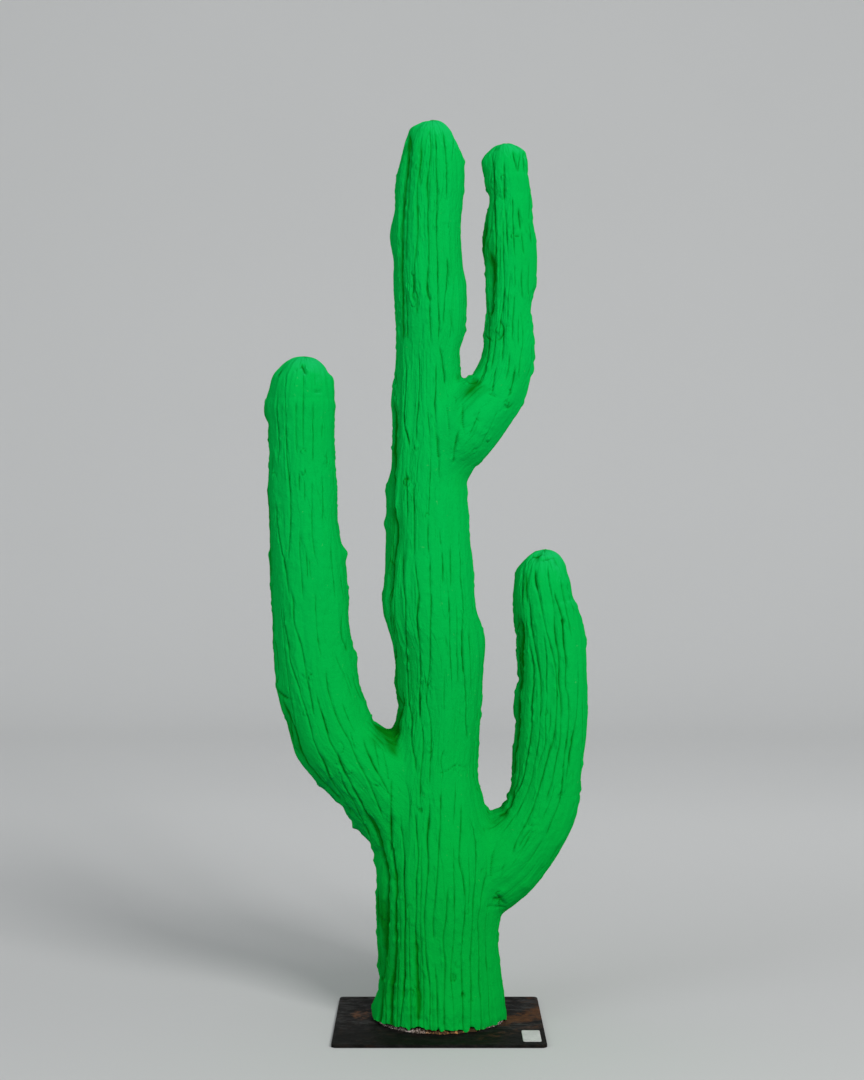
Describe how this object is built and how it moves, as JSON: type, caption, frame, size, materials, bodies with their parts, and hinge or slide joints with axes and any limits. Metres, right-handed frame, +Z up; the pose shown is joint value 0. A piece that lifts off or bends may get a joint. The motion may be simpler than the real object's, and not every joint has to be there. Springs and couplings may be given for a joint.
{
  "type": "model saguaro cactus",
  "caption": "Painted model of a saguaro cactus: a ribbed trunk with upturned arms, standing on a thin steel plate.",
  "frame": {"origin": "centre of the flat underside of the steel plate that the model stands on", "axes": "+Z up along the trunk; the front faces -Y; left and right are as seen from the front"},
  "size_m": [0.3182, 0.179, 0.898],
  "materials": {
    "green_paint": "satin",
    "bare_filler": "matte",
    "dark_steel": "satin",
    "sticker": "satin"
  },
  "bodies": {
    "root": {"trunk": "green_paint", "left_arm_root": "green_paint", "left_arm_shaft": "green_paint", "right_arm_root": "green_paint", "right_arm_shaft": "green_paint", "upper_arm_root": "green_paint", "upper_arm_shaft": "green_paint", "foot_crust": "bare_filler", "base_plate": "dark_steel", "blank_sticker": "sticker"}
  },
  "joints": []
}
